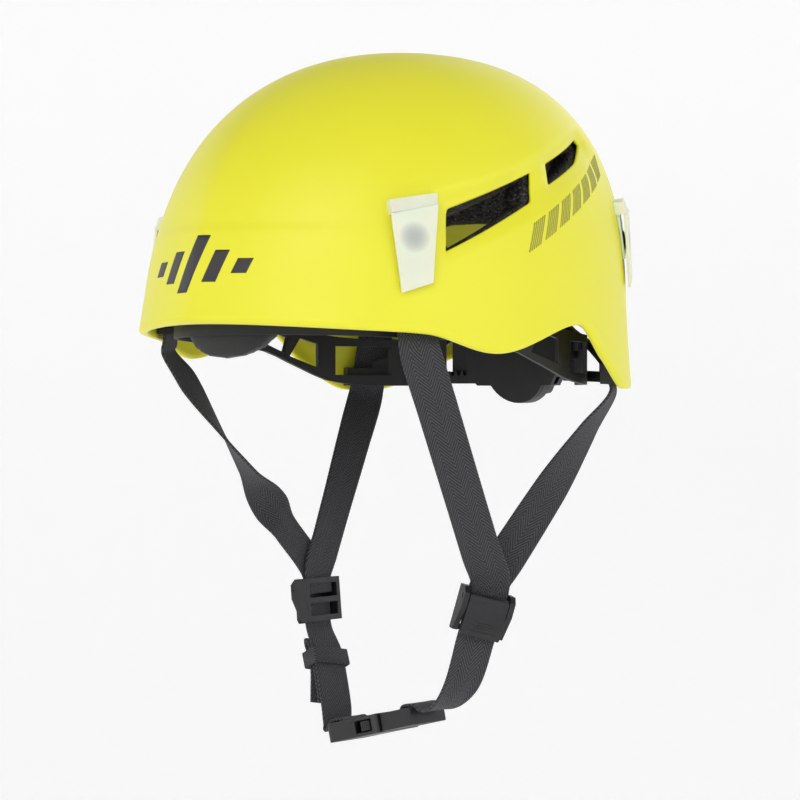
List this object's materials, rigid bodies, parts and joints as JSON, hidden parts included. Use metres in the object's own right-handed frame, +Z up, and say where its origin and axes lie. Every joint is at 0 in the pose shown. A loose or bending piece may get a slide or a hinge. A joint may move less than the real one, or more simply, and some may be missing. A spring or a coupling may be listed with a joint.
{
  "type": "climbing helmet",
  "caption": "Hard-shell climbing helmet with side vents, headlamp clips, a dial-sized headband and a webbing chin harness with side-release buckle.",
  "frame": {"origin": "centre of the head, level with the headband", "axes": "+Z up, -Y to the front, +X to the wearer's left"},
  "size_m": [0.2246, 0.2787, 0.3586],
  "materials": {
    "shell": "moulded satin shell",
    "foam": "expanded bead foam",
    "padding": "laminated textile over soft foam",
    "plastic": "fine moulded grain",
    "clip": "milky translucent",
    "webbing": "woven herringbone",
    "steel": "plated"
  },
  "bodies": {
    "helmet": {"outer_shell": "shell", "foam_liner": "foam", "crown_pad": "padding", "brow_pad": "padding", "headband": "plastic", "nape_cradle": "plastic", "nape_cover": "plastic", "nape_screw_right": "steel", "nape_screw_left": "steel", "detent_spring": "steel", "clip_base_front_left": "clip", "clip_rivet_front_left": "steel", "rivet_washer_front_left": "steel", "strap_front_left": "webbing", "hanger_front_left": "plastic", "clip_base_front_right": "clip", "clip_rivet_front_right": "steel", "rivet_washer_front_right": "steel", "strap_front_right": "webbing", "hanger_front_right": "plastic", "clip_base_rear_left": "clip", "clip_rivet_rear_left": "steel", "rivet_washer_rear_left": "steel", "strap_rear_left": "webbing", "clip_base_rear_right": "clip", "clip_rivet_rear_right": "steel", "rivet_washer_rear_right": "steel", "strap_rear_right": "webbing", "adjuster_frame_left": "plastic", "adjuster_pin_left": "steel", "chin_strap_left": "webbing", "adjuster_frame_right": "plastic", "adjuster_pin_right": "steel", "chin_strap_right": "webbing", "strap_tail": "webbing", "strap_keeper": "webbing", "buckle_body": "plastic"},
    "dial": {"size_dial": "plastic", "dial_pinion": "plastic", "dial_screw": "steel"},
    "strip_right": {"right_size_strip": "plastic"},
    "strip_left": {"left_size_strip": "plastic"},
    "lever_left": {"adjuster_lever_left": "plastic"},
    "lever_right": {"adjuster_lever_right": "plastic"},
    "plug": {"buckle_plug": "plastic"},
    "prong_front": {"buckle_prong_front": "plastic"},
    "prong_rear": {"buckle_prong_rear": "plastic"},
    "clip_front_left": {"clip_tongue_front_left": "clip"},
    "clip_front_right": {"clip_tongue_front_right": "clip"},
    "clip_rear_left": {"clip_tongue_rear_left": "clip"},
    "clip_rear_right": {"clip_tongue_rear_right": "clip"}
  },
  "joints": [
    {"name": "size_dial_turn", "type": "hinge", "parent": "helmet", "child": "dial", "pos_m": [0, 0.11, 0.02], "axis": [0, 1, 0], "range_deg": [-150, 150]},
    {"name": "right_strip_slide", "type": "hinge", "parent": "helmet", "child": "strip_right", "pos_m": [0, 0.028, 0.0127], "axis": [0, 0, 1], "range_deg": [-8.5, 8.5]},
    {"name": "left_strip_slide", "type": "hinge", "parent": "helmet", "child": "strip_left", "pos_m": [0, 0.028, 0.0273], "axis": [0, 0, 1], "range_deg": [-8.5, 8.5]},
    {"name": "clip_front_left_flex", "type": "hinge", "parent": "helmet", "child": "clip_front_left", "pos_m": [0.08783, -0.07691, 0.08955], "axis": [-0.4714, -0.8577, -0.2052], "range_deg": [0, 20], "stiffness_Nm_per_rad": 0.05, "springref_deg": -1.15},
    {"name": "clip_front_right_flex", "type": "hinge", "parent": "helmet", "child": "clip_front_right", "pos_m": [-0.08783, -0.07691, 0.08955], "axis": [-0.4714, 0.8577, 0.2052], "range_deg": [0, 20], "stiffness_Nm_per_rad": 0.05, "springref_deg": -1.15},
    {"name": "clip_rear_left_flex", "type": "hinge", "parent": "helmet", "child": "clip_rear_left", "pos_m": [0.08527, 0.09153, 0.09842], "axis": [0.5546, -0.8058, -0.2075], "range_deg": [0, 20], "stiffness_Nm_per_rad": 0.05, "springref_deg": -1.15},
    {"name": "clip_rear_right_flex", "type": "hinge", "parent": "helmet", "child": "clip_rear_right", "pos_m": [-0.08527, 0.09153, 0.09842], "axis": [0.5546, 0.8058, 0.2075], "range_deg": [0, 20], "stiffness_Nm_per_rad": 0.05, "springref_deg": -1.15},
    {"name": "lever_left_open", "type": "hinge", "parent": "helmet", "child": "lever_left", "pos_m": [0.06305, 0.00611, -0.10107], "axis": [-0.5186, -0.8172, 0.2516], "range_deg": [0, 100]},
    {"name": "lever_right_open", "type": "hinge", "parent": "helmet", "child": "lever_right", "pos_m": [-0.06299, 0.00705, -0.10092], "axis": [-0.0523, 0.9986, 0], "range_deg": [0, 100]},
    {"name": "buckle_release", "type": "slide", "parent": "helmet", "child": "plug", "axis": [0.9703, 0, 0.2419], "range_m": [0, 0.026], "deforming": ["buckle_prong_front", "buckle_prong_rear", "chin_strap_left"]},
    {"name": "prong_front_squeeze", "type": "hinge", "parent": "plug", "child": "prong_front", "pos_m": [0.01219, -0.0109, -0.16396], "axis": [0.2419, 0, -0.9703], "range_deg": [0, 8], "stiffness_Nm_per_rad": 0.2},
    {"name": "prong_rear_squeeze", "type": "hinge", "parent": "plug", "child": "prong_rear", "pos_m": [0.01219, 0.0069, -0.16396], "axis": [-0.2419, 0, 0.9703], "range_deg": [0, 8], "stiffness_Nm_per_rad": 0.2}
  ],
  "couplings": [
    {"joint": "right_strip_slide", "follows": "size_dial_turn", "ratio": 0.056098},
    {"joint": "left_strip_slide", "follows": "size_dial_turn", "ratio": -0.056098}
  ]
}
